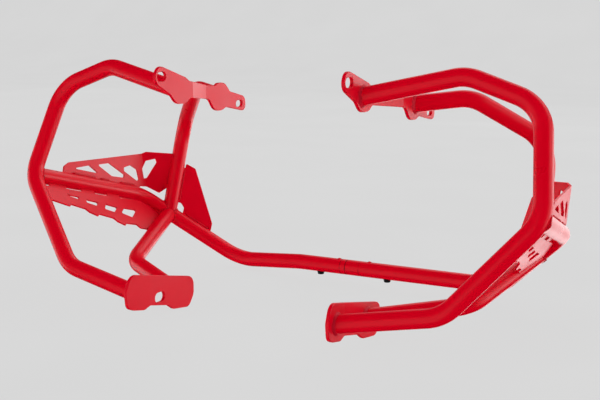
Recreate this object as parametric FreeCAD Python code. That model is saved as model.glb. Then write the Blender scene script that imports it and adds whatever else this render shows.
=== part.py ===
import FreeCAD, Part
import os
from math import tan, radians, degrees, cos, sin, pi, hypot

# Motorcycle crash bars: two welded tube frames, one for each side of a wide engine,
# joined under the front of the engine by a bolted sleeve.
# X points to the right of the bike, Y points to its front, Z points up. Millimetres.
# Points are measured from the widest point of the hoops and moved to the floor at the end.

V = FreeCAD.Vector

# driving dimensions
TUBE_D = 25.0            # outside diameter of every tube
TUBE_WALL = 2.5          # wall of every tube
BEND_R = 55.0            # centre line radius of every bend
BRACKET_T = 5.0          # thickness of the mounting brackets
GUARD_T = 3.0            # thickness of the side guards
GUARD_LEAN = 6.15        # the upper guard leans outwards by this many degrees
GUSSET_T = 4.0           # thickness of the corner gusset
UPPER_REAR_X = 148.9     # middle of the rear face of the upper bracket
UPPER_FRONT_X = 165.5    # middle of its front face
LOWER_X = 157.8          # middle of the lower bracket
REAR_SLOT = (6.7, 21.5)  # half width and length of the rear slot of the upper bracket
FRONT_SLOT = (5.4, 19.0) # the same for its front slot
LOWER_SLOT = (7.5, 23.5) # and for the slot of the lower bracket
WELD = 3.0               # leg of the weld beads at the brackets
SLIP = 0.1               # radial clearance of the sleeve in the tubes
SLEEVE_WALL = 4.0        # wall of the sleeve
SLEEVE_X = (-81.0, 89.0) # ends of the sleeve
LOCK_X = (-17.0, -7.0)   # narrow collar on the sleeve
UNION_X = (-7.0, 18.0)   # wide collar on the sleeve
SCREW_X = (-57.0, 65.0)  # the two screws under the tube
SCREW_R = 3.0            # M6 screws
SCREW_CLEARANCE = 0.3    # radial clearance of the screws in the tube
SCREW_HEAD_R = 5.5
SCREW_HEAD_H = 3.3
SADDLE_R = 6.0           # saddle washer under each screw head
SADDLE_H = 1.2
STUD_X = (-22.0, 33.0)   # the two round studs on top of the tube
STUD_R = 3.5
GROOVE = 0.8             # chamfer at the tube and collar ends
FLOOR_Z = 192.58         # height of the widest point of the hoops above the floor
MIDDLE_Y = 122.17        # the widest point lies this far behind the middle

TUBE_R = TUBE_D / 2
BORE_R = TUBE_R - TUBE_WALL

# corner points of the tube centre lines on the right side
HOOP = [(149.5, 28.8, 139.7), (286.9, 51.1, 170.1), (387.9, 54.8, 135.2),
        (408.2, 0.0, 0.0), (299.5, -47.0, -123.7), (163.4, -63.4, -146.6)]
FRONT = [(161.0, 166.0, 121.0), (238.0, 206.0, 130.6), (325.3, 296.7, 61.7)]
CROSS_START = (405.8, 0.4, 0.6)
CROSS_BEND = (370.7, 225.1, -59.7)
STRUT = [(286.1, 91.7, -142.5), (172.8, 33.9, -159.0)]
GUARD_CORNER = (323.6, 178.5, -110.0)
# ends of the fold of the upper guard, along the cross tube and up from it
FOLD_LOW = (247.9, 15.4)
FOLD_HIGH = (228.3, 70.3)
BRIDGE_Y = 303.0
BRIDGE_Z = -164.3
# the left cross tube has one more bend than the right one
NODE_LEFT = (331.5, 253.9, -93.3)
CORNER_LEFT = [(231.9, 326.6, -178.8), (97.0, BRIDGE_Y, BRIDGE_Z)]
NODE_RIGHT = (331.7, 251.6, -95.3)
CORNER_RIGHT = [(256.0, BRIDGE_Y, BRIDGE_Z)]


def vec(p):
    return V(p[0], p[1], p[2])


def unit(v):
    w = V(v)
    w.normalize()
    return w


def fused(shapes):
    if len(shapes) == 1:
        return shapes[0]
    return shapes[0].multiFuse(shapes[1:]).removeSplitter()


def round_face(centre, direction, outer, inner):
    # a disc, or a ring when the inner radius is not zero
    big = Part.Wire(Part.makeCircle(outer, centre, direction))
    if inner <= 0:
        return Part.Face(big)
    small = Part.Wire(Part.makeCircle(inner, centre, direction))
    return Part.Face(big).cut(Part.Face(small)).Faces[0]


def bent_bar(points, outer, inner=0.0):
    # straight lengths and bends of one radius, like a tube from the bender
    pieces = []
    start = points[0]
    for i in range(1, len(points) - 1):
        u = unit(points[i] - points[i - 1])
        w = unit(points[i + 1] - points[i])
        angle = u.getAngle(w)
        setback = BEND_R * tan(angle / 2)
        first = points[i] - u * setback
        axis = unit(u.cross(w))
        centre = first + axis.cross(u) * BEND_R
        pieces.append(round_face(start, u, outer, inner).extrude(first - start))
        bend = round_face(first, u, outer, inner)
        pieces.append(bend.revolve(centre, axis, degrees(angle)))
        start = points[i] + w * setback
    last = points[-1]
    pieces.append(round_face(start, last - start, outer, inner).extrude(last - start))
    return fused(pieces)


def nearest(shape, point):
    # the solid that holds or lies nearest to a point
    probe = Part.Vertex(point)
    return min(shape.Solids, key=lambda s: s.distToShape(probe)[0])


def outline(points, place):
    # closed outline with rounded corners; each point is (along, across, radius)
    count = len(points)
    spots = []
    for i in range(count):
        px, py = points[i - 1][0], points[i - 1][1]
        x, y, r = points[i]
        nx, ny = points[(i + 1) % count][0], points[(i + 1) % count][1]
        ax, ay = px - x, py - y
        bx, by = nx - x, ny - y
        la, lb = hypot(ax, ay), hypot(bx, by)
        ax, ay, bx, by = ax / la, ay / la, bx / lb, by / lb
        if r <= 0:
            spots.append([(x, y)])
            continue
        half = V(ax, ay, 0).getAngle(V(bx, by, 0)) / 2
        setback = min(r / tan(half), 0.48 * la, 0.48 * lb)
        r = setback * tan(half)
        mx, my = ax + bx, ay + by
        lm = hypot(mx, my)
        reach = r / sin(half)
        cx, cy = x + mx / lm * reach, y + my / lm * reach
        near = (cx - mx / lm * r, cy - my / lm * r)
        spots.append([(x + ax * setback, y + ay * setback), near,
                      (x + bx * setback, y + by * setback)])
    edges = []
    for i in range(count):
        spot = [place(p[0], p[1]) for p in spots[i]]
        follow = spots[(i + 1) % count][0]
        if len(spot) == 3:
            edges.append(Part.Arc(spot[0], spot[1], spot[2]).toShape())
        if (place(follow[0], follow[1]) - spot[-1]).Length > 1e-4:
            edges.append(Part.makeLine(spot[-1], place(follow[0], follow[1])))
    return Part.Face(Part.Wire(Part.__sortEdges__(edges)))


def plate(points, origin, e1, e2, thick, cutouts=()):
    # flat plate centred on the plane through the origin
    normal = unit(e1.cross(e2))
    base = origin - normal * (thick / 2)
    solid = outline(points, lambda a, b: base + e1 * a + e2 * b).extrude(normal * thick)
    low = base - normal * thick
    for cut in cutouts:
        tool = outline(cut, lambda a, b: low + e1 * a + e2 * b)
        solid = solid.cut(tool.extrude(normal * (3 * thick)))
    return solid


def offset_line(points, distance):
    # plan line moved sideways by a distance, with mitred corners
    moved = []
    for i in range(len(points)):
        if i == 0:
            d = V(points[1][0] - points[0][0], points[1][1] - points[0][1], 0)
            n = unit(V(d.y, -d.x, 0))
            moved.append((points[0][0] + n.x * distance, points[0][1] + n.y * distance))
            continue
        a = V(points[i][0] - points[i - 1][0], points[i][1] - points[i - 1][1], 0)
        na = unit(V(a.y, -a.x, 0))
        if i == len(points) - 1:
            moved.append((points[i][0] + na.x * distance, points[i][1] + na.y * distance))
            continue
        b = V(points[i + 1][0] - points[i][0], points[i + 1][1] - points[i][1], 0)
        nb = unit(V(b.y, -b.x, 0))
        m = na + nb
        scale = distance / (1 + na.dot(nb))
        moved.append((points[i][0] + m.x * scale, points[i][1] + m.y * scale))
    return moved


def folded_sheet(line, thick, z_low, z_high, bend):
    # sheet folded along a plan line, standing upright between two heights
    right = offset_line(line, thick / 2)
    left = offset_line(line, -thick / 2)
    ring = [(p[0], p[1], bend if 0 < i < len(right) - 1 else 0) for i, p in enumerate(right)]
    back = [(p[0], p[1], bend if 0 < i < len(left) - 1 else 0) for i, p in enumerate(left)]
    ring += back[::-1]
    face = outline(ring, lambda a, b: V(a, b, z_low))
    return face.extrude(V(0, 0, z_high - z_low))


def inboard_of(line, thick, z_low, z_high, bend):
    # everything between the outer face of a folded sheet and the middle of the bike
    outer = offset_line(line, thick / 2)
    ring = [(p[0], p[1], bend if 0 < i < len(outer) - 1 else 0) for i, p in enumerate(outer)]
    ring += [(60.0, line[-1][1], 0), (60.0, line[0][1], 0)]
    face = outline(ring, lambda a, b: V(a, b, z_low))
    return face.extrude(V(0, 0, z_high - z_low))


def side_prism(points, slots=()):
    # outline seen from the side, pushed through from the middle outwards
    solid = outline(points, lambda a, b: V(100, a, b)).extrude(V(130, 0, 0))
    for (y, z), (r, length) in slots:
        half = length / 2 - r
        tool = Part.makeBox(150, 2 * half, 2 * r, V(90, y - half, z - r))
        for end in (y - half, y + half):
            tool = tool.fuse(Part.makeCylinder(r, 150, V(90, end, z), V(1, 0, 0)))
        solid = solid.cut(tool)
    return solid


# upper bracket: two faces joined by a slanting one
UPPER_LINE = [(UPPER_REAR_X, -60), (UPPER_REAR_X, 64), (UPPER_FRONT_X, 124), (UPPER_FRONT_X, 260)]
UPPER_SHAPE = [(-20.8, 178.0, 14.2), (47.0, 157.0, 14), (57.0, 151.0, 14), (130.0, 140.4, 0),
               (150.0, 138.4, 8), (157.0, 142.6, 14), (177.0, 142.6, 20), (192.0, 127.6, 9),
               (237.5, 117.0, 12), (239.0, 92.6, 12), (181.0, 103.4, 9), (168.5, 98.8, 24),
               (147.5, 99.6, 22), (133.0, 118.6, 14), (116.0, 120.6, 0), (58.0, 126.4, 10),
               (47.0, 118.8, 22), (23.0, 118.8, 22), (9.0, 133.5, 16), (-30.7, 153.4, 14.2)]
REAR_HOLE = (-12.6, 160.4)
FRONT_HOLE = (219.0, 106.4)

# lower bracket: the rear lobe is turned slightly outwards
LOWER_TURN = 3.0
LOWER_FOLD_Y = -39.5
LOWER_LINE = [(LOWER_X + tan(radians(LOWER_TURN)) * 80, LOWER_FOLD_Y - 80),
              (LOWER_X, LOWER_FOLD_Y), (LOWER_X, 100)]
LOWER_SHAPE = [(-80.0, -115.6, 16), (71.5, -148.3, 16), (71.5, -176.0, 18), (58.0, -193.4, 12),
               (18.0, -188.0, 14), (3.5, -178.6, 8), (-38.5, -169.4, 8), (-52.0, -173.4, 10),
               (-76.0, -168.6, 16), (-88.0, -163.5, 14), (-91.0, -141.0, 16)]
LOWER_HOLE = (-15.6, -162.0)


def bead(axis_point, axis_dir, face_point, face_normal, radius, leg):
    # weld bead around a tube that meets a flat face, as a shallow cone
    rings = []
    for lift, size in ((0.0, radius + leg), (leg, radius + 0.4)):
        p = face_point + face_normal * lift
        t = (p - axis_point).dot(face_normal) / axis_dir.dot(face_normal)
        centre = axis_point + axis_dir * t
        slope = axis_dir.dot(face_normal)
        along = axis_dir - face_normal * slope
        tilt = unit(along)
        side = face_normal.cross(tilt)
        ellipse = Part.Ellipse(centre + tilt * (size / abs(slope)), centre + side * size, centre)
        rings.append(Part.Wire(ellipse.toShape()))
    return Part.makeLoft(rings, True, True)


def build_side(node, corners, end_x):
    # one side of the bike, built on the right
    node = vec(node)
    hoop_points = [vec(p) for p in HOOP]
    u = unit(hoop_points[1] - hoop_points[0])
    hoop_points[0] = hoop_points[0] - u * 20
    u_low = unit(hoop_points[-1] - hoop_points[-2])
    hoop_points[-1] = hoop_points[-1] + u_low * 20
    front_points = [vec(p) for p in FRONT] + [node]
    u_front = unit(front_points[1] - front_points[0])
    front_points[0] = front_points[0] - u_front * 20
    strut_points = [node] + [vec(p) for p in STRUT]
    u_strut = unit(strut_points[-1] - strut_points[-2])
    strut_points[-1] = strut_points[-1] + u_strut * 20
    cross_points = [vec(CROSS_START), vec(CROSS_BEND)] + [vec(p) for p in corners]
    cross_points.append(V(end_x, BRIDGE_Y, BRIDGE_Z))

    hoop_solid = bent_bar(hoop_points, TUBE_R)
    front_solid = bent_bar(front_points, TUBE_R)
    cross_solid = bent_bar(cross_points, TUBE_R)
    strut_solid = bent_bar(strut_points, TUBE_R)

    upper_in = inboard_of(UPPER_LINE, BRACKET_T, 80, 190, 6)
    lower_in = inboard_of(LOWER_LINE, BRACKET_T, -215, -100, 6)

    made = {}
    tube = bent_bar(hoop_points, TUBE_R, BORE_R)
    tube = tube.cut(upper_in).cut(lower_in)
    made["hoop_tube"] = nearest(tube, hoop_points[3])

    tube = bent_bar(front_points, TUBE_R, BORE_R).cut(upper_in).cut(cross_solid)
    middle = (front_points[2] + node) * 0.5 + V(TUBE_R - 1, 0, 0)
    made["front_tube"] = nearest(tube, middle)

    tube = bent_bar(cross_points, TUBE_R, BORE_R).cut(hoop_solid)
    middle = (cross_points[0] + cross_points[1]) * 0.5
    made["cross_tube"] = nearest(tube, middle)

    tube = bent_bar(strut_points, TUBE_R, BORE_R)
    tube = tube.cut(lower_in).cut(cross_solid).cut(front_solid)
    made["lower_strut"] = nearest(tube, strut_points[1])

    # mounting brackets
    sheet = folded_sheet(UPPER_LINE, BRACKET_T, 80, 190, 4)
    holes = [(REAR_HOLE, REAR_SLOT), (FRONT_HOLE, FRONT_SLOT)]
    made["upper_bracket"] = sheet.common(side_prism(UPPER_SHAPE, holes)).Solids[0]
    sheet = folded_sheet(LOWER_LINE, BRACKET_T, -215, -100, 4)
    holes = [(LOWER_HOLE, LOWER_SLOT)]
    made["lower_bracket"] = sheet.common(side_prism(LOWER_SHAPE, holes)).Solids[0]

    # weld beads where the tubes end on the brackets
    out = V(1, 0, 0)
    turned = unit(V(cos(radians(LOWER_TURN)), sin(radians(LOWER_TURN)), 0))
    upper_rear = V(UPPER_REAR_X + BRACKET_T / 2, 0, 0)
    upper_front = V(UPPER_FRONT_X + BRACKET_T / 2, 0, 0)
    lower_front = V(LOWER_X + BRACKET_T / 2, 0, 0)
    lower_rear = V(LOWER_X, LOWER_FOLD_Y, 0) + turned * (BRACKET_T / 2)
    beads = []
    beads.append(bead(hoop_points[0], u, upper_rear, out, TUBE_R, WELD).cut(hoop_solid))
    beads.append(bead(front_points[0], u_front, upper_front, out, TUBE_R, WELD).cut(front_solid))
    beads.append(bead(hoop_points[-1], u_low, lower_rear, turned, TUBE_R, WELD).cut(hoop_solid))
    beads.append(bead(strut_points[-1], u_strut, lower_front, out, TUBE_R, WELD).cut(strut_solid))
    made["bracket_welds"] = Part.makeCompound([b.Solids[0] for b in beads])

    # upper guard: stands on the cross tube, leans outwards, folded towards the front tube
    start = vec(HOOP[3])
    bend = vec(CROSS_BEND)
    run = unit(bend - start)
    upright = unit(V(0, 0, 1) - run * run.z)
    outwards = unit(run.cross(V(0, 0, 1)))
    lean = radians(GUARD_LEAN)
    rise = upright * cos(lean) + outwards * sin(lean)
    fold_low = start + run * FOLD_LOW[0] + rise * FOLD_LOW[1]
    fold_high = start + run * FOLD_HIGH[0] + rise * FOLD_HIGH[1]
    rear_shape = [(59.0, 4.0, 0), (59.6, 22.8, 5), (69.5, 30.6, 8), FOLD_HIGH + (0,),
                  FOLD_LOW + (0,), (FOLD_LOW[0] - 16, FOLD_LOW[1] - 1.8, 3),
                  (FOLD_LOW[0] - 26, 4.0, 0)]
    windows = [[(79.0, 22.2, 1), (112.0, 31.9, 1.5), (134.0, 21.8, 1)],
               [(129.6, 35.8, 1.5), (154.8, 42.4, 2), (192.2, 28.2, 1.5), (191.6, 22.8, 1.5),
                (163.6, 21.6, 2)],
               [(189.0, 40.0, 1.5), (203.8, 46.4, 1.5), (220.0, 41.4, 1.5), (227.6, 24.8, 1),
                (223.4, 21.4, 1), (190.4, 34.2, 1.5)]]
    rear = plate(rear_shape, start, run, rise, GUARD_T, windows)
    crease = unit(fold_high - fold_low)
    # its front part turns towards the middle line of the front tube and ends on it
    tube_top = vec(FRONT[2]) - fold_low
    tube_low = node - fold_low
    aim = (tube_top + tube_low) * 0.5
    face = unit(aim - crease * aim.dot(crease))

    def at_tube(height):
        share = (height - tube_low.dot(crease)) / (tube_top - tube_low).dot(crease)
        return (tube_low + (tube_top - tube_low) * share).dot(face)

    front_shape = [(0.0, 58.3, 0), (8.4, 60.3, 2), (at_tube(47.4), 47.4, 0),
                   (at_tube(-1.2), -1.2, 0), (19.7, -14.6, 2), (0.0, 0.0, 0)]
    front = plate(front_shape, fold_low, face, crease, GUARD_T)
    length = (fold_high - fold_low).Length
    corner = Part.makeCylinder(GUARD_T / 2, length, fold_low, crease)
    guard = fused([rear, front, corner])
    window = [(-2.6, 32.6, 1), (5.6, 44.9, 1.5), (22.2, 46.0, 1), (23.2, 39.0, 1),
              (2.4, 14.8, 1), (-2.4, 14.8, 1)]
    normal = unit(face.cross(crease))
    low = fold_low - normal * 5
    tool = outline(window, lambda a, b: low + face * a + crease * b).extrude(normal * 10)
    guard = guard.cut(tool)
    guard = guard.cut(cross_solid).cut(front_solid).cut(hoop_solid)
    made["upper_guard"] = nearest(guard, (fold_low + fold_high) * 0.5)

    # lower guard: hangs between the cross tube and the lower strut
    square = unit((bend - start).cross(vec(GUARD_CORNER) - start))
    down = run.cross(square)
    if down.z > 0:
        down = down * -1
    top = 18.4
    shape = [(4.0, top, 0), (26.0, top, 0), (26.0, 4.0, 0), (59.5, 4.0, 0), (59.5, top, 0),
             (93.0, top, 0), (93.0, 4.0, 0), (121.0, 4.0, 0), (121.0, top, 0), (149.0, top, 0),
             (149.0, 4.0, 0), (177.0, 4.0, 0), (177.0, top, 0), (222.0, 17.0, 6),
             (242.0, 24.5, 12), (262.0, 43.0, 8), (236.0, 92.0, 0), (212.0, 79.0, 0),
             (197.0, 78.4, 3), (190.5, 72.0, 3), (167.0, 72.6, 1), (163.0, 77.2, 1),
             (148.0, 71.8, 3), (141.5, 65.6, 3), (112.5, 61.6, 1), (107.5, 65.9, 1),
             (91.5, 60.6, 3), (85.0, 54.8, 3), (57.5, 50.0, 1), (53.5, 54.0, 1),
             (16.0, 46.6, 0), (4.0, 44.0, 0)]
    slots = [[(46.0, 29.6, 1), (79.2, 31.6, 1), (79.2, 37.4, 1)],
             [(93.8, 34.6, 2), (120.0, 36.6, 2), (113.2, 44.6, 2), (93.4, 41.0, 1.5)],
             [(136.4, 37.6, 2), (160.8, 40.6, 2), (149.4, 52.2, 2), (128.8, 48.4, 2)],
             [(176.6, 39.8, 2), (205.0, 39.8, 2), (187.4, 57.6, 2), (165.0, 51.6, 2)]]
    guard = plate(shape, start, run, down, GUARD_T, slots)
    guard = guard.cut(cross_solid).cut(strut_solid).cut(hoop_solid)
    made["lower_guard"] = nearest(guard, start + run * 150 + down * 62)

    # corner gusset: flat plate in the corner between the front tube and the cross tube
    climb = unit(vec(FRONT[2]) - node)
    away = unit(vec(corners[0]) - node)
    square = climb.cross(away)
    inward = unit(square.cross(climb))
    if inward.x > 0:
        inward = inward * -1
    shape = [(82.5, 4.0, 0), (82.5, TUBE_R + 2, 0), (90.0, TUBE_R + 2, 2), (84.0, 32.0, 4), (-6.0, 77.5, 8),
             (-19.5, 77.0, 6), (-26.0, 70.0, 0), (-2.0, 22.5, 0), (3.0, 23.0, 3),
             (13.0, 23.8, 5), (20.5, 17.0, 5), (20.5, 4.0, 0)]
    gusset = plate(shape, node, climb, inward, GUSSET_T)
    gusset = gusset.cut(front_solid).cut(cross_solid).cut(strut_solid)
    made["corner_gusset"] = nearest(gusset, node + climb * 50 + inward * 40)
    return made


def turned_part(profile, x0):
    # part turned about the bridge tube; profile points are (along, radius)
    pts = [V(x0 + a, BRIDGE_Y, BRIDGE_Z + r) for a, r in profile]
    face = Part.Face(Part.makePolygon(pts + [pts[0]]))
    return face.revolve(V(0, BRIDGE_Y, BRIDGE_Z), V(1, 0, 0), 360)


def collar(ends):
    # plain ring with chamfered rims
    low, high = ends
    g = GROOVE
    inner = BORE_R
    return turned_part([(low, inner), (low, TUBE_R - g), (low + g, TUBE_R), (high - g, TUBE_R),
                        (high, TUBE_R - g), (high, inner)], 0.0)


def end_groove(x, step):
    # chamfer tool for a tube end at x, with the tube lying on the side of step
    g = GROOVE
    return turned_part([(x - step, TUBE_R - g), (x, TUBE_R - g), (x + step * g, TUBE_R),
                        (x + step * g, TUBE_R + 2), (x - step, TUBE_R + 2)], 0.0)


right = build_side(NODE_RIGHT, CORNER_RIGHT, UNION_X[1])
left = build_side(NODE_LEFT, CORNER_LEFT, -LOCK_X[0])
plane_point, plane_normal = V(0, 0, 0), V(1, 0, 0)
left = {name: shape.mirror(plane_point, plane_normal) for name, shape in left.items()}

# bridge joint under the front of the engine
left["cross_tube"] = left["cross_tube"].cut(end_groove(LOCK_X[0], -1))
right["cross_tube"] = right["cross_tube"].cut(end_groove(UNION_X[1], 1))
below = V(0, 0, -1)
axis = V(0, BRIDGE_Y, BRIDGE_Z)
sleeve_r = BORE_R - SLIP
sleeve = Part.makeCylinder(sleeve_r, SLEEVE_X[1] - SLEEVE_X[0], axis + V(SLEEVE_X[0], 0, 0),
                           V(1, 0, 0))
sleeve = sleeve.cut(Part.makeCylinder(sleeve_r - SLEEVE_WALL, SLEEVE_X[1] - SLEEVE_X[0] + 2,
                                      axis + V(SLEEVE_X[0] - 1, 0, 0), V(1, 0, 0)))
screws, saddles, studs = [], [], []
reach = SCREW_X[1] - SCREW_X[0] + 8 * SADDLE_R
round_bar = Part.makeCylinder(TUBE_R, reach, axis + V(SCREW_X[0] - 4 * SADDLE_R, 0, 0), V(1, 0, 0))
for x in SCREW_X:
    hub = axis + V(x, 0, 0)
    wide = Part.makeCylinder(SCREW_R + SCREW_CLEARANCE, TUBE_R + 2, hub, below)
    tapped = Part.makeCylinder(SCREW_R, TUBE_R + 2, hub, below)
    sleeve = sleeve.cut(tapped)
    if x < 0:
        left["cross_tube"] = left["cross_tube"].cut(wide)
    else:
        right["cross_tube"] = right["cross_tube"].cut(wide)
    seat = TUBE_R + SADDLE_H
    saddle = Part.makeCylinder(SADDLE_R, 5.0, hub + below * (seat - 5.0), below)
    saddle = saddle.cut(round_bar)
    saddle = saddle.cut(Part.makeCylinder(SCREW_R + SCREW_CLEARANCE, 40, hub, below))
    saddles.append(max(saddle.Solids, key=lambda s: s.Volume))
    shank = Part.makeCylinder(SCREW_R, seat - 5.0, hub + below * 5.0, below)
    head = Part.makeCylinder(SCREW_HEAD_R, SCREW_HEAD_H, hub + below * seat, below)
    rim = [e for e in head.Edges if abs(e.CenterOfMass.z - (hub.z - seat - SCREW_HEAD_H)) < 0.01]
    head = head.makeFillet(1.6, rim[:1])
    screw = shank.fuse(head)
    hexagon = [hub + below * (seat + SCREW_HEAD_H - 2.0) + V(cos(pi / 3 * i), sin(pi / 3 * i), 0) * 2.3
               for i in range(6)]
    key = Part.Face(Part.makePolygon(hexagon + [hexagon[0]])).extrude(below * 5)
    screws.append(screw.cut(key).removeSplitter().Solids[0])
for x in STUD_X:
    hub = axis + V(x, 0, 0)
    up = V(0, 0, 1)
    hole = Part.makeCylinder(2.0, TUBE_R + 2, hub, up)
    sleeve = sleeve.cut(hole)
    if x < 0:
        left["cross_tube"] = left["cross_tube"].cut(hole)
    else:
        right["cross_tube"] = right["cross_tube"].cut(hole)
    ball_r = 4.6
    dome = Part.makeSphere(ball_r, hub + up * (TUBE_R + 1.6 - ball_r))
    dome = dome.common(Part.makeCylinder(STUD_R, 10, hub + up * (TUBE_R - 3), up))
    dome = dome.cut(round_bar)
    pin = Part.makeCylinder(2.0, TUBE_R - sleeve_r + 3.0, hub + up * (sleeve_r - 2.5), up)
    studs.append(pin.fuse(dome).removeSplitter().Solids[0])

parts = {}
for name, shape in right.items():
    parts[name + "_right"] = shape
for name, shape in left.items():
    parts[name + "_left"] = shape
parts["bridge_sleeve"] = sleeve.Solids[0]
parts["bridge_lock_collar"] = collar(LOCK_X)
parts["bridge_union_collar"] = collar(UNION_X)
parts["bridge_screws"] = Part.makeCompound(screws)
parts["bridge_saddle_washers"] = Part.makeCompound(saddles)
parts["bridge_studs"] = Part.makeCompound(studs)

os.makedirs("parts", exist_ok=True)
everything = []
for name, shape in parts.items():
    shape = shape.copy()
    shape.translate(V(0, -MIDDLE_Y, FLOOR_Z))
    shape.exportStep(os.path.join("parts", name + ".step"))
    everything.append(shape)
    kinds = "solids %d, valid %s, volume %.1f cm3" % (len(shape.Solids), shape.isValid(),
                                                      shape.Volume / 1000)
    print(name, kinds)
box = Part.makeCompound(everything).BoundBox
print("X %.2f %.2f  Y %.2f %.2f  Z %.2f %.2f" % (box.XMin, box.XMax, box.YMin, box.YMax,
                                                 box.ZMin, box.ZMax))
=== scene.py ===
# %% [markdown]
# # Motorcycle crash bars
# Two cages of bent steel tube stand on either side of a wide engine, and one tube joins
# them under its front. Folded sheet guards and plate brackets are welded to the tubes, and
# everything is powder coated in one red. This lesson dresses the engineering model: it keeps
# its sizes and gives each piece the soft edges, the weld seams and the coating of the real one.

import bpy
import bmesh
import math
from mathutils import Matrix, Vector


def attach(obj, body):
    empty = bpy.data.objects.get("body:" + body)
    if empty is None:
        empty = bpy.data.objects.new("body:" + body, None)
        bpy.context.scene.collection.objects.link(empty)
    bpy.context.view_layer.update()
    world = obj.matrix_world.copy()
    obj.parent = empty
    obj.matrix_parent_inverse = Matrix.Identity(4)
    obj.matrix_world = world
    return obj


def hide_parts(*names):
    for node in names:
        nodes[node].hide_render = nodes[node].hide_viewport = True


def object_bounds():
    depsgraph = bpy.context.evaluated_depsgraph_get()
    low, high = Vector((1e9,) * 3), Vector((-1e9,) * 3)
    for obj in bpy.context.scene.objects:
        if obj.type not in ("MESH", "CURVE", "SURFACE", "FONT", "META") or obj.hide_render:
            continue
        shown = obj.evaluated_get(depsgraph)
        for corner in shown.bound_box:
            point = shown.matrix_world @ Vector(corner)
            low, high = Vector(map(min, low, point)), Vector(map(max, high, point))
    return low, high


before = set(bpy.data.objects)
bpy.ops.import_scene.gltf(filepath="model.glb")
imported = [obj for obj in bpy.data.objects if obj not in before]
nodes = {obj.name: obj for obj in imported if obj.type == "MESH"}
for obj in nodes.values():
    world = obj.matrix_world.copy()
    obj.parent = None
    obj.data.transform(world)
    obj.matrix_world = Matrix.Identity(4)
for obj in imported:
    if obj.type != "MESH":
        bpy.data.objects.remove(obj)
cad_low, cad_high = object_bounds()
print("nodes:", len(nodes))
print("box in mm:", [round(v * 1000) for v in (cad_high - cad_low)])

# %% [markdown]
# ## Where the camera stands
# The picture is taken from behind and to the right, a little above the bars, with a long
# lens. A camera could be placed by eye, but its place was worked out beforehand and is given
# here: both cages are mirror images, so the picture holds two views of one cage, and only one
# place and one lens fit both. The picture is 600 by 400 points, and the lens follows from its
# width. The place is in metres and both angles are in degrees.

# %% Camera
IMAGE_WIDTH = 600
FOCAL_POINTS = 1092.96
SENSOR_MM = 36.0
CAMERA_PLACE = (0.78403, -1.40165, 0.43520)
LOOK_DOWN = 9.4503
TURN_LEFT = 29.1166
SEES_TO_M = 60

camera_data = bpy.data.cameras.new("camera")
camera_data.sensor_width = SENSOR_MM
camera_data.lens = FOCAL_POINTS / IMAGE_WIDTH * SENSOR_MM
camera_data.clip_end = SEES_TO_M
camera = bpy.data.objects.new("camera", camera_data)
bpy.context.scene.collection.objects.link(camera)
camera.location = CAMERA_PLACE
camera.rotation_euler = (math.radians(90 - LOOK_DOWN), 0, math.radians(TURN_LEFT))
bpy.context.scene.camera = camera
print("lens in mm:", round(camera_data.lens, 1))

# %% [markdown]
# ## Colours
# Colours are picked as screen values, but a shader works with light, so each value is
# turned from the screen's curve to linear light once, in one place.

# %% Colour from a hex value
def linear(hex_value):
    parts = [int(hex_value[i:i + 2], 16) / 255 for i in (0, 2, 4)]
    light = [c / 12.92 if c <= 0.04045 else ((c + 0.055) / 1.055) ** 2.4 for c in parts]
    return (*light, 1.0)


print("red of the coating, linear:", [round(c, 3) for c in linear("D0001C")])

# %% [markdown]
# ## One helper for shader nodes
# A shader is a small graph. This helper adds one node, sets what is given and links what is
# given, so that each material below reads as a list of what it is made of.

# %% Adding a node
def add(tree, kind, settings=None, inputs=None):
    node = tree.nodes.new(kind)
    for key, value in (settings or {}).items():
        setattr(node, key, value)
    for key, value in (inputs or {}).items():
        if isinstance(value, bpy.types.NodeSocket):
            tree.links.new(value, node.inputs[key])
        else:
            node.inputs[key].default_value = value
    return node


def new_material(name):
    material = bpy.data.materials.new(name)
    material.use_nodes = True
    material.node_tree.nodes.clear()
    return material, material.node_tree


print("materials so far:", len(bpy.data.materials))

# %% [markdown]
# ## Red powder coat
# Polyester powder is blown onto the steel and baked. It flows out to a thick skin with a
# soft gloss and a faint orange peel, dimples two to three millimetres apart. The pigment is
# slightly uneven, and the film is a little duller in some places. The dimples could be
# modelled, but they are only microns deep, so a bump from noise is the right tool. A
# polyester film bends light like glass does, so its IOR is 1.5. On a weld the film is
# thinner and lies on a rough bead, so there it is darker, duller and more dimpled.

# %% Powder coat
PEEL_PITCH_MM = 2.4
PEEL_DEPTH_MM = 0.3
MOTTLE_PITCH_MM = 45.0


def powder_coat(name, hex_value, hex_deep, roughness, peel):
    material, tree = new_material(name)
    place = add(tree, "ShaderNodeTexCoord")
    mottle = add(tree, "ShaderNodeTexNoise", inputs={
        "Vector": place.outputs["Object"], "Scale": 1000 / MOTTLE_PITCH_MM,
        "Detail": 3.0, "Roughness": 0.55})
    pigment = add(tree, "ShaderNodeMix", {"data_type": "RGBA"}, {
        "Factor": mottle.outputs["Fac"], "A": linear(hex_deep), "B": linear(hex_value)})
    film = add(tree, "ShaderNodeMapRange", inputs={
        "Value": mottle.outputs["Fac"], "From Min": 0.3, "From Max": 0.7,
        "To Min": roughness - 0.03, "To Max": roughness + 0.04})
    dimples = add(tree, "ShaderNodeTexNoise", inputs={
        "Vector": place.outputs["Object"], "Scale": 1000 / PEEL_PITCH_MM,
        "Detail": 1.5, "Roughness": 0.45})
    skin = add(tree, "ShaderNodeBump", inputs={
        "Height": dimples.outputs["Fac"], "Strength": peel,
        "Distance": PEEL_DEPTH_MM / 1000})
    body = add(tree, "ShaderNodeBsdfPrincipled", inputs={
        "Base Color": pigment.outputs["Result"], "Roughness": film.outputs["Result"],
        "Normal": skin.outputs["Normal"], "IOR": 1.5})
    add(tree, "ShaderNodeOutputMaterial", inputs={"Surface": body.outputs["BSDF"]})
    return material


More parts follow.
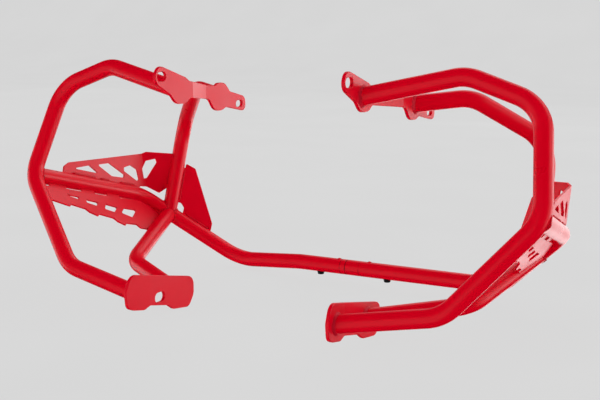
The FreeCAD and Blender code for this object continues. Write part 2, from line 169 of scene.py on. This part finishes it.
coat_on_tube = powder_coat("polyester_powder_coat_on_tube", "D0001C", "C80018", 0.30, 0.04)
coat_on_plate = powder_coat("polyester_powder_coat_on_plate", "D0001E", "C8001A", 0.33, 0.05)
coat_on_weld = powder_coat("polyester_powder_coat_on_weld", "C4001A", "AC0014", 0.40, 0.25)
print("coats:", coat_on_tube.name, coat_on_plate.name, coat_on_weld.name)

# %% [markdown]
# ## Blackened steel
# The screws and their washers are blackened steel: metal with a thin dark oxide that leaves
# only a dull sheen, so it counts as metal for a little more than half. A flat dark grey would
# look like plastic, so a fine grain varies tone and dullness. The real grain is finer than a
# tenth of a millimetre and would never show, so it is drawn several times coarser.

# %% Blackened steel
GRIT_MM = 0.8
GRIT_DEPTH_MM = 0.1


def blackened_steel(name):
    material, tree = new_material(name)
    place = add(tree, "ShaderNodeTexCoord")
    grain = add(tree, "ShaderNodeTexNoise", inputs={
        "Vector": place.outputs["Object"], "Scale": 1000 / GRIT_MM, "Detail": 2.0})
    tone = add(tree, "ShaderNodeMix", {"data_type": "RGBA"}, {
        "Factor": grain.outputs["Fac"], "A": linear("0E0E10"), "B": linear("232326")})
    dull = add(tree, "ShaderNodeMapRange", inputs={
        "Value": grain.outputs["Fac"], "To Min": 0.38, "To Max": 0.52})
    relief = add(tree, "ShaderNodeBump", inputs={
        "Height": grain.outputs["Fac"], "Strength": 0.15,
        "Distance": GRIT_DEPTH_MM / 1000})
    body = add(tree, "ShaderNodeBsdfPrincipled", inputs={
        "Base Color": tone.outputs["Result"], "Roughness": dull.outputs["Result"],
        "Normal": relief.outputs["Normal"], "Metallic": 0.6})
    add(tree, "ShaderNodeOutputMaterial", inputs={"Surface": body.outputs["BSDF"]})
    return material


black_screw_steel = blackened_steel("blackened_screw_steel")
print("screw finish:", black_screw_steel.name)

# %% [markdown]
# ## Drawn steel
# The sleeve inside the joint is drawn tube, left bare: a bright metal with fine lines along
# its length from the die. The lines could be scratches cut into the mesh, but noise that is
# stretched along the tube does it in one node. Real lines are finer than a tenth of a
# millimetre, so they too are drawn several times coarser.

# %% Drawn steel
DRAW_LINE_MM = 0.7
DRAW_STRETCH = (0.03, 1.0, 1.0)


def drawn_steel(name):
    material, tree = new_material(name)
    place = add(tree, "ShaderNodeTexCoord")
    stretch = add(tree, "ShaderNodeMapping", inputs={
        "Vector": place.outputs["Object"], "Scale": DRAW_STRETCH})
    lines = add(tree, "ShaderNodeTexNoise", inputs={
        "Vector": stretch.outputs["Vector"], "Scale": 1000 / DRAW_LINE_MM, "Detail": 2.0})
    tone = add(tree, "ShaderNodeMix", {"data_type": "RGBA"}, {
        "Factor": lines.outputs["Fac"], "A": linear("A2A2A4"), "B": linear("BEBEC0")})
    dull = add(tree, "ShaderNodeMapRange", inputs={
        "Value": lines.outputs["Fac"], "To Min": 0.28, "To Max": 0.44})
    body = add(tree, "ShaderNodeBsdfPrincipled", inputs={
        "Base Color": tone.outputs["Result"], "Roughness": dull.outputs["Result"],
        "Metallic": 1.0})
    add(tree, "ShaderNodeOutputMaterial", inputs={"Surface": body.outputs["BSDF"]})
    return material


bare_sleeve_steel = drawn_steel("drawn_sleeve_steel")
nodes["bridge_sleeve"].data.materials.clear()
nodes["bridge_sleeve"].data.materials.append(bare_sleeve_steel)
print("sleeve finish:", bare_sleeve_steel.name)

# %% [markdown]
# ## The sizes the tubes were bent to
# Every tube is 25 mm across and bent over one former, so a tube is fully given by the corner
# points of its centre line. The tubes could be copied from the engineering model, but its
# faces are coarse, and corner points are what a tube bender works from as well. They are
# those of the model in millimetres, x from the middle plane and y and z from the widest
# corner of the hoops, and one shift moves them to the floor. The left cage takes the same
# points with x turned round.

# %% Corner points
TUBE_R = 12.5
BEND_R = 55.0
TO_FLOOR = Vector((0, -122.17, 192.58))
HOOP = [(149.5, 28.8, 139.7), (286.9, 51.1, 170.1), (387.9, 54.8, 135.2),
        (408.2, 0, 0), (299.5, -47.0, -123.7), (163.4, -63.4, -146.6)]
FRONT = [(161.0, 166.0, 121.0), (238.0, 206.0, 130.6), (325.3, 296.7, 61.7)]
CROSS = [(405.8, 0.4, 0.6), (370.7, 225.1, -59.7)]
STRUT = [(286.1, 91.7, -142.5), (172.8, 33.9, -159.0)]
BRIDGE = (303.0, -164.3)
NODE = {"right": (331.7, 251.6, -95.3), "left": (331.5, 253.9, -93.3)}
CORNER = {"right": [(256.0, *BRIDGE)], "left": [(231.9, 326.6, -178.8), (97.0, *BRIDGE)]}
TUBE_END = {"right": 18.0, "left": 17.0}
SIGN = {"right": 1, "left": -1}


def on_side(side, point):
    x, y, z = point
    return (Vector((SIGN[side] * x, y, z)) + TO_FLOOR) / 1000


print("points of one hoop:", len(HOOP))

# %% [markdown]
# ## From corner points to a bent line
# A tube bender leaves straight lengths and arcs of one radius. Blender could round the
# corners of a curve by itself, but then the arcs would have no known radius. So the centre
# line is worked out first: each corner is replaced by an arc that starts where the bend
# does, in steps of three degrees, which look round.

# %% Centre line
ARC_STEP = math.radians(3)
LEAST_ARC_STEPS = 2


def centre_line(corners, bend=BEND_R / 1000):
    line = [corners[0]]
    for before, corner, after in zip(corners, corners[1:], corners[2:]):
        arriving = (corner - before).normalized()
        leaving = (after - corner).normalized()
        angle = arriving.angle(leaving)
        start = corner - arriving * bend * math.tan(angle / 2)
        axis = arriving.cross(leaving).normalized()
        centre = start + axis.cross(arriving) * bend
        steps = max(LEAST_ARC_STEPS, round(angle / ARC_STEP))
        for i in range(steps + 1):
            line.append(centre + Matrix.Rotation(angle * i / steps, 3, axis) @ (start - centre))
    line.append(corners[-1])
    return line


print("degrees between points in a bend:", round(math.degrees(ARC_STEP)))

# %% [markdown]
# ## Dressing a piece
# Each new mesh becomes an object in the scene, gets its finish, rides on the one rigid body
# of the bars, and may stand in for a piece of the engineering model. This could be written
# out for every piece, but two small helpers keep the later cells to the shapes alone.

# %% Object and finish
def as_object(name, mesh):
    data = bpy.data.meshes.new(name)
    mesh.to_mesh(data)
    mesh.free()
    data.shade_smooth()
    piece = bpy.data.objects.new(name, data)
    bpy.context.scene.collection.objects.link(piece)
    return piece


def dress(piece, material, slot, *replaced):
    piece.data.materials.clear()
    piece.data.materials.append(material)
    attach(piece, "root")
    if replaced:
        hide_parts(*replaced)
    return piece


print("helpers:", as_object.__name__, dress.__name__)

# %% [markdown]
# ## A tube along a line
# A tube is the same round section all along. A curve object with a round bevel could draw
# it, but it pinches in tight bends and can't be cut along a plate. So a ring of points is
# carried along the line without twisting, and neighbouring rings are joined by faces. The
# ends are capped, and the rim of a cap stays sharp so that the shading doesn't bend there.
# An end on a bracket is cut upright, along the plate, and a loop is joined back to itself.

# %% Direction of travel
def headings(line, closed):
    count = len(line)
    if closed:
        return [(line[(i + 1) % count] - line[i - 1]).normalized() for i in range(count)]
    return [(line[min(i + 1, count - 1)] - line[max(i - 1, 0)]).normalized()
            for i in range(count)]


way = headings(centre_line([on_side("right", point) for point in HOOP]), closed=False)
print("degrees between both ends of a hoop:", round(math.degrees(way[0].angle(way[-1]))))

# %% Sweep
RING = 64


def sweep(name, line, radius_at, closed=False, ring=RING, on_plate=(False, False)):
    count = len(line)
    mesh = bmesh.new()
    ahead = headings(line, closed)
    side = ahead[0].orthogonal().normalized()
    rings = []
    for i, (point, tangent) in enumerate(zip(line, ahead)):
        side = (side - tangent * side.dot(tangent)).normalized()
        up = tangent.cross(side)
        r = radius_at(i)
        circle = [point + (side * math.cos(a) + up * math.sin(a)) * r
                  for a in (2 * math.pi * k / ring for k in range(ring))]
        if (i == 0 and on_plate[0]) or (i == count - 1 and on_plate[1]):
            circle = [p + tangent * ((point.x - p.x) / tangent.x) for p in circle]
        rings.append([mesh.verts.new(p) for p in circle])
    pairs = list(zip(rings, rings[1:]))
    if closed:
        shift = min(range(ring), key=lambda k: (rings[-1][0].co - rings[0][k].co).length)
        pairs.append((rings[-1], rings[0][shift:] + rings[0][:shift]))
    for a, b in pairs:
        for k in range(ring):
            mesh.faces.new((a[k], a[(k + 1) % ring], b[(k + 1) % ring], b[k]))
    if not closed:
        for cap in (mesh.faces.new(rings[0][::-1]), mesh.faces.new(rings[-1])):
            for edge in cap.edges:
                edge.smooth = False
    bmesh.ops.recalc_face_normals(mesh, faces=mesh.faces)
    return as_object(name, mesh)


print("points in a ring:", RING)

# %% [markdown]
# ## The tubes
# On the real bars each tube is cut to a fish mouth where it meets another and is welded all
# round. Such an end could be cut here too, but nobody can look into it, so the tube simply
# runs on to the middle of its neighbour. An end that meets a bracket is cut along the
# plate, up to one millimetre below its face, so that no gap shows.

# %% Four tubes a side
HOOP_ENDS_X = (150.4, 159.8)
FRONT_END_X = 167.0
STRUT_END_X = 159.3


def trimmed(point, toward, end_x):
    # moves the first point along its line until it lies on a plane of constant x
    p, q = Vector(point), Vector(toward)
    return tuple(p + (q - p) * ((end_x - p.x) / (q.x - p.x)))


tube_lines = {}
for side in SIGN:
    hoop = list(HOOP)
    hoop[0] = trimmed(HOOP[0], HOOP[1], HOOP_ENDS_X[0])
    hoop[-1] = trimmed(HOOP[-1], HOOP[-2], HOOP_ENDS_X[1])
    front = list(FRONT) + [NODE[side]]
    front[0] = trimmed(FRONT[0], FRONT[1], FRONT_END_X)
    strut = [NODE[side]] + list(STRUT)
    strut[-1] = trimmed(STRUT[-1], STRUT[-2], STRUT_END_X)
    cross = CROSS + CORNER[side] + [(TUBE_END[side], *BRIDGE)]
    for kind, corners, ends in (("hoop_tube", hoop, (True, True)),
                                ("front_tube", front, (True, False)),
                                ("lower_strut", strut, (False, True)),
                                ("cross_tube", cross, (False, False))):
        line = centre_line([on_side(side, p) for p in corners])
        tube_lines[kind, side] = line
        tube = sweep(f"bent_{kind}_{side}", line, lambda i: TUBE_R / 1000, on_plate=ends)
        dress(tube, coat_on_tube, "frame_coat", f"{kind}_{side}")
print("tubes:", len(tube_lines))

# %% [markdown]
# ## Where a plate bends and where it is welded
# A folded plate has a round bend instead of a crease, and where it is welded to a tube its
# edge stays as it was cut. Both kinds of edges could be picked by hand, but two small tests
# find them on every plate: a fold is a long, slight edge between two wide faces, and a
# welded edge lies on the skin of a tube. Folds turn by less than 32 degrees, and a real
# corner of a plate turns by more.

# %% Folds and welded edges
SLIGHTEST_FOLD = 1
SHARPEST_FOLD = 32
SHORTEST_FOLD_MM = 20
WIDE_FACE_MM2 = 200
WELD_REACH_MM = 0.6


def turn_of(edge):
    return math.degrees(edge.calc_face_angle(0))


def is_fold(edge):
    if len(edge.link_faces) != 2 or edge.calc_length() * 1000 <= SHORTEST_FOLD_MM:
        return False
    narrower = min(face.calc_area() for face in edge.link_faces) * 1e6
    return narrower > WIDE_FACE_MM2 and SLIGHTEST_FOLD < turn_of(edge) < SHARPEST_FOLD


def distance_to_line(point, line):
    best = math.inf
    for a, b in zip(line, line[1:]):
        ab = b - a
        t = max(0.0, min(1.0, (point - a).dot(ab) / ab.length_squared))
        best = min(best, (point - a - ab * t).length)
    return best


def on_a_tube(vert):
    return any(distance_to_line(vert.co, line) * 1000 < TUBE_R + WELD_REACH_MM
               for line in tube_lines.values())


gusset = bmesh.new()
gusset.from_mesh(nodes["corner_gusset_right"].data)
print("points of a gusset on a tube:", sum(on_a_tube(vert) for vert in gusset.verts))
gusset.free()

# %% [markdown]
# ## Plates with soft edges
# Brackets and guards are cut by laser, folded, and tumbled or filed before coating, and the
# powder rounds every edge a little more. That thin round edge is what catches the light. The
# plates could be drawn again, but the engineering model already has the true outlines, so a
# copy of each is cleaned to flat faces, its folds are rounded and its sharp edges bevelled.
# Faces keep their flat shading by weighted normals. The upper guards have very short edges
# beside the fold, so there the bevel is held back, or it would throw a spike.

# %% Soft-edged copies
FOLD_MM = 2.5
FOLD_STEPS = 4
MERGE_MM = 0.03
FLAT_WITHIN = math.radians(0.5)
EDGE_STEPS = 3


def soft_copy(node_name, new_name, edge_mm, welded_on=False):
    mesh = bmesh.new()
    mesh.from_mesh(nodes[node_name].data)
    bmesh.ops.remove_doubles(mesh, verts=mesh.verts, dist=MERGE_MM / 1000)
    bmesh.ops.dissolve_limit(mesh, angle_limit=FLAT_WITHIN, verts=mesh.verts,
                             edges=mesh.edges)
    folds = [edge for edge in mesh.edges if is_fold(edge)]
    if folds:
        bmesh.ops.bevel(mesh, geom=folds, offset=FOLD_MM / 1000, segments=FOLD_STEPS,
                        profile=0.5, affect="EDGES", clamp_overlap=True)
    weight = mesh.edges.layers.float.new("bevel_weight_edge")
    welded = {vert for vert in mesh.verts if welded_on and on_a_tube(vert)}
    for edge in mesh.edges:
        corner = len(edge.link_faces) == 2 and turn_of(edge) > SHARPEST_FOLD
        edge[weight] = 1.0 if corner and not welded.issuperset(edge.verts) else 0.0
        edge.smooth = not corner or edge[weight] > 0
    piece = as_object(new_name, mesh)
    bevel = piece.modifiers.new("edge", "BEVEL")
    bevel.width = edge_mm / 1000
    bevel.segments = EDGE_STEPS
    bevel.limit_method = "WEIGHT"
    bevel.use_clamp_overlap = "upper_guard" in node_name
    flat = piece.modifiers.new("flat faces", "WEIGHTED_NORMAL")
    flat.weight = 100
    flat.keep_sharp = True
    return piece


print("steps in a soft edge:", EDGE_STEPS)

# %% [markdown]
# ## Brackets, guards and gussets
# The brackets are the thickest plates, so their edges are rounder than those of the thin
# guards. One number for all would be simpler, but the eye reads the thickness of a plate
# from its edge, so each kind has its own, in millimetres.

# %% Ten plates
EDGE_MM = {"upper_bracket": 0.8, "lower_bracket": 0.8, "upper_guard": 0.5,
           "lower_guard": 0.5, "corner_gusset": 0.6}

for side in SIGN:
    for kind, edge in EDGE_MM.items():
        coat_slot = "bracket_coat" if "bracket" in kind else "guard_coat"
        plate = soft_copy(f"{kind}_{side}", f"cut_{kind}_{side}", edge, welded_on=True)
        dress(plate, coat_on_plate, coat_slot, f"{kind}_{side}")
print("plates:", 2 * len(EDGE_MM))

# %% [markdown]
# ## The joint under the engine
# A narrow and a wide collar sit on the inner sleeve between the two tube ends. Two small
# studs show on top, and two black screws with washers shaped to the tube hold the sleeve
# from below. They could be turned again from a profile, but the model's shapes are right
# already, so copies of them only get the fine edge that turned steel has.

# %% Collars, studs and screws
TURNED_MM = {"bridge_lock_collar": 0.35, "bridge_union_collar": 0.35, "bridge_studs": 0.3}
BLACK_MM = {"bridge_screws": 0.25, "bridge_saddle_washers": 0.25}

for name, edge in TURNED_MM.items():
    ring = soft_copy(name, name.replace("bridge_", "turned_"), edge)
    dress(ring, coat_on_tube, "frame_coat", name)
for name, edge in BLACK_MM.items():
    screw = soft_copy(name, name.replace("bridge_", "black_"), edge)
    dress(screw, black_screw_steel, "black_screw", name)
print("kinds of pieces in the joint:", len(TURNED_MM) + len(BLACK_MM))

# %% [markdown]
# ## Painted shade in the grooves
# Each rim has a small chamfer, so two rims make a narrow groove, and its bottom lies in shade:
# a thin dark line shows around the tube. A line this thin is lost in a shader, so the shade is
# painted: each line is a thin dark ring laid at the bottom of its groove, below the tube's
# skin.

# %% Rings of painted shade in the grooves
GROOVE_SHADE_MM = 0.6
GROOVE_MM = 0.7
COLLARS_MEET = -7.0
STEPS_AROUND = 72
SHADE_RING_SIDES = 8
GROOVES = (-TUBE_END["left"], COLLARS_MEET, TUBE_END["right"])

for i, x in enumerate(GROOVES):
    hub = on_side("right", (x, *BRIDGE))
    around = [hub + Vector((0, math.cos(a), math.sin(a))) * (TUBE_R - GROOVE_MM) / 1000
              for a in (2 * math.pi * k / STEPS_AROUND for k in range(STEPS_AROUND))]
    # the ring is painted shade: a dark piece, in the dark screw finish, where the groove only
    # has shade
    gap = sweep(f"groove_shade_ring_{i}", around, lambda i: GROOVE_SHADE_MM / 1000, closed=True, ring=SHADE_RING_SIDES)
    dress(gap, black_screw_steel, "black_screw")
print("rings in the grooves:", len(GROOVES))

# %% [markdown]
# ## The line in which two tubes meet
# Where a tube is welded to another, the weld follows a saddle-shaped loop. It could be cut
# out with a boolean, but that gives ragged points. So the loop is searched instead: from
# each point of the tube's skin the search walks along the tube until it touches the
# neighbour's skin. Each step is a tenth shorter than the gap that is left, so the search
# doesn't jump over the weld line.

# %% Where a tube meets its neighbour
REACH_MM = 130
TOUCH_MM = 0.02
LEAST_STEP_MM = 0.2
STEP_SHARE = 0.9


def meeting_loop(start, direction, neighbour):
    side = direction.orthogonal().normalized()
    up = direction.cross(side)
    loop = []
    for k in range(STEPS_AROUND):
        a = 2 * math.pi * k / STEPS_AROUND
        skin = start + (side * math.cos(a) + up * math.sin(a)) * (TUBE_R / 1000)
        travel, nearest, best = 0.0, math.inf, 0.0
        while travel < REACH_MM / 1000 and nearest > TOUCH_MM / 1000:
            gap = distance_to_line(skin + direction * travel, neighbour) - TUBE_R / 1000
            if gap < nearest:
                nearest, best = gap, travel
            travel += max(gap * STEP_SHARE, LEAST_STEP_MM / 1000)
        loop.append(skin + direction * best)
    return loop


print("the search walks at most", REACH_MM, "mm")

# %% [markdown]
# ## Weld beads
# A weld leaves a small rounded bead with ripples where the puddle froze, a few millimetres
# apart. A bump could paint them on, but the corner between the tubes would stay hard, so a
# thin ring is swept along the loop, swelling and thinning once for each ripple. A bead that
# would stand out beyond the widest point of the bars is pressed flat there, so that the
# bars keep their width.

# %% Bead
RIPPLE_MM = 3.2
RIPPLE_HIGH_MM = 0.22
BEAD_MM = 1.5
FEWEST_RIPPLES = 8
FINER = 4
BEAD_RING = 12


def bead(name, loop):
    length = sum((a - b).length for a, b in zip(loop, loop[1:]))
    ripples = max(FEWEST_RIPPLES, round(length * 1000 / RIPPLE_MM))
    fine = []
    for i in range(len(loop)):
        a, b = loop[i], loop[(i + 1) % len(loop)]
        fine += [a.lerp(b, t / FINER) for t in range(FINER)]
    turn = 2 * math.pi * ripples / len(fine)
    piece = sweep(name, fine, lambda i: (BEAD_MM + RIPPLE_HIGH_MM * math.sin(turn * i)) / 1000,
                  closed=True, ring=BEAD_RING)
    for vert in piece.data.vertices:
        vert.co.x = max(cad_low[0], min(cad_high[0], vert.co.x))
    return dress(piece, coat_on_weld, "frame_coat")


print("ripples in a bead round a straight cut tube:",
      round(2 * math.pi * TUBE_R / RIPPLE_MM))

# %% [markdown]
# ## Where the beads go
# In each front corner the front tube and the strut both end on the cross tube, and the cross
# tube starts at the hoop. That makes three beads a side. Each could be placed by hand, but
# the search only needs a start on the tube, a little away from the joint, and the way to
# the neighbour.

# %% Six beads
NEAR_NODE = 0.3
NEAR_HOOP = 0.2

joints = []
for side in SIGN:
    node = on_side(side, NODE[side])
    cross_line = tube_lines["cross_tube", side]
    top = on_side(side, FRONT[2])
    back = on_side(side, STRUT[0])
    joints.append((f"weld_front_{side}", node.lerp(top, NEAR_NODE), node - top, cross_line))
    joints.append((f"weld_strut_{side}", node.lerp(back, NEAR_NODE), node - back, cross_line))
    begin, bend = on_side(side, CROSS[0]), on_side(side, CROSS[1])
    joints.append((f"weld_cross_{side}", begin.lerp(bend, NEAR_HOOP), begin - bend,
                   tube_lines["hoop_tube", side]))
for name, start, direction, neighbour in joints:
    bead(name, meeting_loop(start, direction.normalized(), neighbour))
print("beads between tubes:", len(joints))

# %% [markdown]
# ## Short seams along the plates
# Plates aren't welded all along, because the heat would warp them, so they get short seams.
# A seam could be a bump on the plate, but it fills the corner between plate and tube and
# catches light there, so it is a thin rod that ripples and tapers at both ends. It lies
# where the face of the plate meets the round of the tube, so it is placed by the tube's
# radius and the plate's thickness.

# %% One seam
SEAM_STEP_MM = 0.8
SEAM_RIPPLE_MM = 0.2
FEWEST_STEPS = 8
END_SHARE = 0.4
TAPER_STEPS = 4


def seam(name, ends, thick_mm):
    begin, end = ends
    steps = max(FEWEST_STEPS, round((end - begin).length * 1000 / SEAM_STEP_MM))
    line = [begin.lerp(end, i / steps) for i in range(steps + 1)]
    turn = 2 * math.pi * SEAM_STEP_MM / RIPPLE_MM

    def thick(i):
        taper = min(1.0, END_SHARE + min(i, steps - i) / TAPER_STEPS)
        return (thick_mm + SEAM_RIPPLE_MM * math.sin(turn * i)) * taper / 1000

    return dress(sweep(name, line, thick, ring=BEAD_RING), coat_on_weld, "frame_coat")


print("steps in one ripple:", RIPPLE_MM / SEAM_STEP_MM)

# %% Place beside a plate
SUNK_SHARE = 0.3
ASIDE_SHARE = 0.4
FACE_NAME = {-1: "a", 1: "b"}


def along(start, run, out, sideways, span, half_mm, thick_mm):
    # both ends of a seam on the skin of a tube, beside a plate that stands on the tube
    lift = (TUBE_R + SUNK_SHARE * thick_mm) / 1000
    beside = sideways * (half_mm + ASIDE_SHARE * thick_mm) / 1000
    return [start + run * (s / 1000) + out * lift + beside for s in span]


print("faces of a plate:", *FACE_NAME.values())

# %% [markdown]
# ## Seams of the corner gusset
# The gusset stands in the corner between the front tube and the cross tube. It is welded on
# both faces along both tubes, not quite into the corner and not quite to its tips. The
# two tubes give its plane, so its seams need no places of their own, only how far they
# reach along each tube, in millimetres.

# %% Four seams for each gusset
SEAM_MM = 1.7
GUSSET_HALF_MM = 2.0
GUSSET_SPAN = {"front": (24, 80), "cross": (26, 72)}


def gusset_seams(side):
    node = on_side(side, NODE[side])
    climb = (on_side(side, FRONT[2]) - node).normalized()
    away = (on_side(side, CORNER[side][0]) - node).normalized()
    square = climb.cross(away).normalized()
    inward = square.cross(climb).normalized()
    inward *= 1 if inward.dot(away) > 0 else -1
    upward = (climb - away * climb.dot(away)).normalized()
    made = []
    for face, letter in FACE_NAME.items():
        for part, run, out in (("front", climb, inward), ("cross", away, upward)):
            ends = along(node, run, out, square * face, GUSSET_SPAN[part],
                         GUSSET_HALF_MM, SEAM_MM)
            made.append(seam(f"seam_gusset_{part}_{side}_{letter}", ends, SEAM_MM))
    return made


print("reach along the tubes in mm:", GUSSET_SPAN)

# %% [markdown]
# ## Stitches of the upper guard
# The upper guard stands on top of the cross tube and leans out a little. Its foot runs along
# the tube, but it is held by a row of stitches, the same on both faces. One long seam would
# be simpler here, but on the real guard its heat would bend the thin sheet.

# %% Six stitches for each guard
STITCH_MM = 2.1
GUARD_HALF_MM = 1.5
GUARD_LEAN = math.radians(6.15)
STITCHES = [(78, 126), (138, 157), (183, 217)]


def guard_stitches(side):
    begin, bend = on_side(side, CROSS[0]), on_side(side, CROSS[1])
    run = (bend - begin).normalized()
    upright = (Vector((0, 0, 1)) - run * run.z).normalized()
    outwards = run.cross(Vector((0, 0, 1))).normalized() * SIGN[side]
    rise = upright * math.cos(GUARD_LEAN) + outwards * math.sin(GUARD_LEAN)
    plane = run.cross(rise).normalized()
    made = []
    for i, span in enumerate(STITCHES):
        for face, letter in FACE_NAME.items():
            ends = along(begin, run, rise, plane * face, span, GUARD_HALF_MM, STITCH_MM)
            made.append(seam(f"stitch_{i}_{side}_{letter}", ends, STITCH_MM))
    return made


for side in SIGN:
    print(side, "seams:", len(gusset_seams(side)), "stitches:", len(guard_stitches(side)))

# %% [markdown]
# ## The ground
# The picture has an even pale grey ground without a shadow. A photographer gets it with a
# roll of paper that hangs down a wall and runs out over the floor in one curve. A flat floor
# would be simpler, but its far edge would cut through the picture. Sizes are in metres.

# %% Floor that curves up
FLOOR_HALF = 9.0
FLOOR_FRONT_Y = -8.0
WALL_Y = 7.0
WALL_TOP = 6.0
COVE_R = 2.0
COVE_STEPS = 16


def cyclorama():
    profile = [(FLOOR_FRONT_Y, 0.0)]
    for i in range(COVE_STEPS + 1):
        a = math.pi / 2 * i / COVE_STEPS
        profile.append((WALL_Y - COVE_R + COVE_R * math.sin(a), COVE_R - COVE_R * math.cos(a)))
    profile.append((WALL_Y, WALL_TOP))
    mesh = bmesh.new()
    rows = [[mesh.verts.new((x, y, z)) for x in (-FLOOR_HALF, FLOOR_HALF)] for y, z in profile]
    for a, b in zip(rows, rows[1:]):
        mesh.faces.new((a[0], a[1], b[1], b[0]))
    return as_object("floor", mesh)


floor = cyclorama()
floor.visible_diffuse = False
floor.visible_glossy = False
floor.visible_shadow = False
print("floor reaches", FLOOR_HALF, "m to each side")

# %% [markdown]
# ## Paper that glows
# Light alone would leave the paper uneven and give it a shadow, and the picture has neither.
# So the paper glows almost by itself, with a trace of uneven fibre in its grey, and only a
# small share of it answers to the lamps. The bars don't see the paper at all, or it would
# light them from below.

# %% Paper
GLOW = 0.97
CLOUDS_PER_M = 3.0

paper, tree = new_material("pale_paper_ground")
place = add(tree, "ShaderNodeTexCoord")
fibre = add(tree, "ShaderNodeTexNoise", inputs={
    "Vector": place.outputs["Object"], "Scale": CLOUDS_PER_M, "Detail": 2.0})
tone = add(tree, "ShaderNodeMix", {"data_type": "RGBA"}, {
    "Factor": fibre.outputs["Fac"], "A": linear("D6D6D6"), "B": linear("DADADA")})
matte = add(tree, "ShaderNodeBsdfDiffuse", inputs={"Color": tone.outputs["Result"]})
own = add(tree, "ShaderNodeEmission", inputs={"Color": tone.outputs["Result"], "Strength": 1.0})
blend = add(tree, "ShaderNodeMixShader", inputs={
    "Fac": GLOW, 1: matte.outputs["BSDF"], 2: own.outputs["Emission"]})
add(tree, "ShaderNodeOutputMaterial", inputs={"Surface": blend.outputs["Shader"]})
floor.data.materials.append(paper)
print("ground:", paper.name)

# %% [markdown]
# ## Soft boxes for the gloss
# A glossy red shows its shape by the lamps that it mirrors. Their places could be guessed
# and tried, but they were read from the bright faces of the picture: each face sends the
# camera's line of sight on to one direction, and there a soft box must stand. A lamp of four
# watts for each square metre of its face shows as plain white, so brightness counts from
# there.

# %% One soft box
MIDDLE = Vector((0, 0, 0.2))
WHITE_WATTS_PER_M2 = 4


def soft_light(name, azimuth, elevation, distance, size, brightness):
    # azimuth is counted from straight ahead to the right, both angles in degrees
    az, el = math.radians(azimuth), math.radians(elevation)
    toward = Vector((math.sin(az) * math.cos(el), math.cos(az) * math.cos(el), math.sin(el)))
    data = bpy.data.lights.new(name, "AREA")
    data.shape = "RECTANGLE"
    data.size, data.size_y = size
    data.energy = WHITE_WATTS_PER_M2 * size[0] * size[1] * brightness
    light = bpy.data.objects.new(name, data)
    bpy.context.scene.collection.objects.link(light)
    light.location = MIDDLE + toward * distance
    light.rotation_euler = (-toward).to_track_quat("-Z", "Y").to_euler()
    light.visible_camera = False
    return light


print("lamps so far:", len(bpy.data.lights))

# %% Seven soft boxes
BOX_AWAY_M = 3.0
SOFT_BOXES = [("front_right", 42, -2, (2.1, 1.2), 1.75),
              ("front_low", -3, -14, (1.6, 2.2), 1.35),
              ("right_side", 76, 4, (1.5, 3.0), 0.62),
              ("upper_front", 12, 40, (4.4, 1.8), 0.8),
              ("left_side", -97, -6, (1.9, 1.8), 1.0),
              ("behind", -165, -12, (4.2, 3.8), 0.24),
              ("ahead", -29, -9.5, (4.4, 3.4), 0.25)]

for name, azimuth, elevation, size, brightness in SOFT_BOXES:
    soft_light(name, azimuth, elevation, BOX_AWAY_M, size, brightness)
print("soft boxes:", len(SOFT_BOXES))

# %% [markdown]
# ## A white room
# Six large panels close around the bars like a white room and light the red from all sides,
# which keeps it even. One bright sky would do that too, but the coating would mirror it and
# the red would turn milky, so these panels aren't mirrored at all.

# %% Six panels
ROOM_M = 4.0
ROOM_BRIGHTNESS = 0.71
PANELS = [("wall_front", 0, 0), ("wall_right", 90, 0), ("wall_back", 180, 0),
          ("wall_left", -90, 0), ("ceiling", 0, 89.9), ("ground", 0, -89.9)]

for name, azimuth, elevation in PANELS:
    panel = soft_light(name, azimuth, elevation, ROOM_M, (2 * ROOM_M, 2 * ROOM_M),
                       ROOM_BRIGHTNESS)
    panel.visible_glossy = False
    panel.data.cycles.use_multiple_importance_sampling = False
print("panels:", len(PANELS))

# %% [markdown]
# ## Behind the paper
# From some sides the camera looks past the paper and sees the world. It could stay black,
# but then the bars would stand before a hard dark shape. So it gets the grey of the
# ground and lights nothing. The screen shows the light as it is, without a film look.

# %% World and screen
world = bpy.data.worlds.new("studio")
bpy.context.scene.world = world
world.use_nodes = True
world.node_tree.nodes["Background"].inputs["Color"].default_value = linear("D7D7D7")
world.node_tree.nodes["Background"].inputs["Strength"].default_value = 1.0
world.cycles_visibility.diffuse = False
world.cycles_visibility.glossy = False
bpy.context.scene.view_settings.view_transform = "Standard"
print("all lamps:", len(bpy.data.lights))
